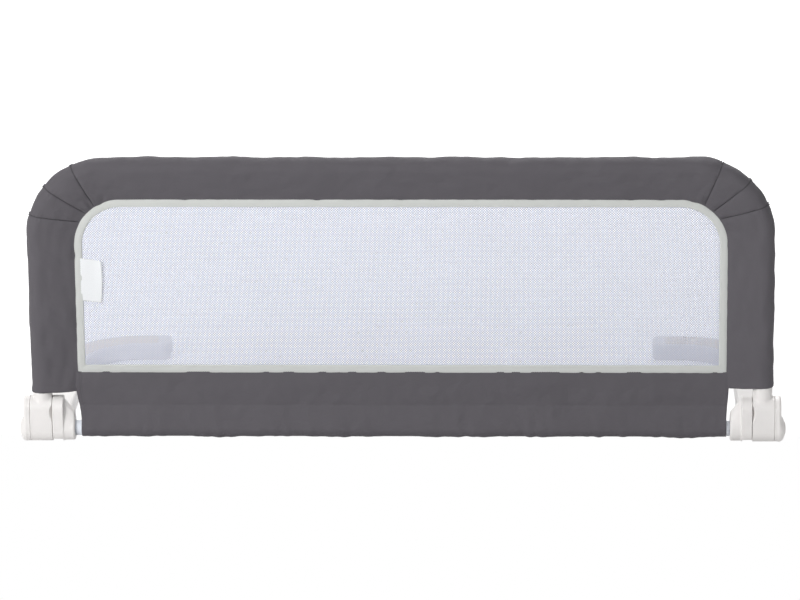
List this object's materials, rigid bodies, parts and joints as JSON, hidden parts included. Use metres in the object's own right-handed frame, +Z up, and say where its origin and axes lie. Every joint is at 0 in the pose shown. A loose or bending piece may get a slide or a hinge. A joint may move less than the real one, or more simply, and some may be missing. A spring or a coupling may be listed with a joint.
{
  "type": "folding bed guard rail",
  "caption": "Fabric-covered tube guard with a net window, folding down on two push-button hinge brackets whose arms slide under a mattress.",
  "frame": {"origin": "on the floor, under the middle of the outer box", "axes": "+X along the rail, +Y towards the mattress side, +Z up"},
  "size_m": [1.0664, 0.431, 0.4078],
  "materials": {
    "grey_fabric": "matte",
    "white_net": "matte",
    "grey_tape": "matte",
    "white_tape": "matte",
    "white_plastic": "satin",
    "lock_plastic": "satin",
    "cream_rubber": "matte",
    "sole_rubber": "matte",
    "coated_steel": "gloss",
    "zinc_steel": "polished",
    "screw_steel": "satin"
  },
  "bodies": {
    "base": {"left_base_bracket": "white_plastic", "right_base_bracket": "white_plastic", "left_arm_tube": "coated_steel", "right_arm_tube": "coated_steel", "left_arm_shell": "white_plastic", "right_arm_shell": "white_plastic", "left_arm_screw": "screw_steel", "right_arm_screw": "screw_steel", "left_grip_strip": "cream_rubber", "right_grip_strip": "cream_rubber", "left_foot_sole": "sole_rubber", "right_foot_sole": "sole_rubber", "left_hinge_bolt": "screw_steel", "right_hinge_bolt": "screw_steel", "left_hinge_washer": "screw_steel", "right_hinge_washer": "screw_steel", "left_hinge_nut": "screw_steel", "right_hinge_nut": "screw_steel", "left_lock_spring": "screw_steel", "right_lock_spring": "screw_steel", "lower_tube": "zinc_steel"},
    "guard": {"left_hinge_body": "white_plastic", "right_hinge_body": "white_plastic", "left_hinge_cover": "white_plastic", "right_hinge_cover": "white_plastic", "left_front_cover_screw": "screw_steel", "right_front_cover_screw": "screw_steel", "left_rear_cover_screw": "screw_steel", "right_rear_cover_screw": "screw_steel", "left_frame_tube": "coated_steel", "right_frame_tube": "coated_steel", "left_post_screw": "screw_steel", "right_post_screw": "screw_steel", "top_tube": "coated_steel", "left_post_sleeve": "grey_fabric", "right_post_sleeve": "grey_fabric", "left_lower_gore": "grey_fabric", "right_lower_gore": "grey_fabric", "left_upper_gore": "grey_fabric", "right_upper_gore": "grey_fabric", "top_sleeve": "grey_fabric", "net_binding": "grey_tape", "net_window": "white_net", "side_label": "white_tape", "lower_panel": "grey_fabric"},
    "left_button": {"left_release_button": "white_plastic"},
    "right_button": {"right_release_button": "white_plastic"},
    "left_lock": {"left_lock_gear": "lock_plastic"},
    "right_lock": {"right_lock_gear": "lock_plastic"}
  },
  "joints": [
    {"name": "guard_fold", "type": "hinge", "parent": "base", "child": "guard", "pos_m": [0, -0.1975, 0.018], "axis": [1, 0, 0], "range_deg": [0, 180]},
    {"name": "left_button_press", "type": "slide", "parent": "guard", "child": "left_button", "axis": [1, 0, 0], "range_m": [0, 0.0045], "stiffness_N_per_m": 1500},
    {"name": "right_button_press", "type": "slide", "parent": "guard", "child": "right_button", "axis": [-1, 0, 0], "range_m": [0, 0.0045], "stiffness_N_per_m": 1500},
    {"name": "left_lock_slide", "type": "slide", "parent": "base", "child": "left_lock", "axis": [1, 0, 0], "range_m": [0, 0.0045], "deforming": ["left_lock_spring"]},
    {"name": "right_lock_slide", "type": "slide", "parent": "base", "child": "right_lock", "axis": [-1, 0, 0], "range_m": [0, 0.0045], "deforming": ["right_lock_spring"]}
  ],
  "couplings": [
    {"joint": "left_lock_slide", "follows": "left_button_press", "ratio": 1},
    {"joint": "right_lock_slide", "follows": "right_button_press", "ratio": 1}
  ]
}
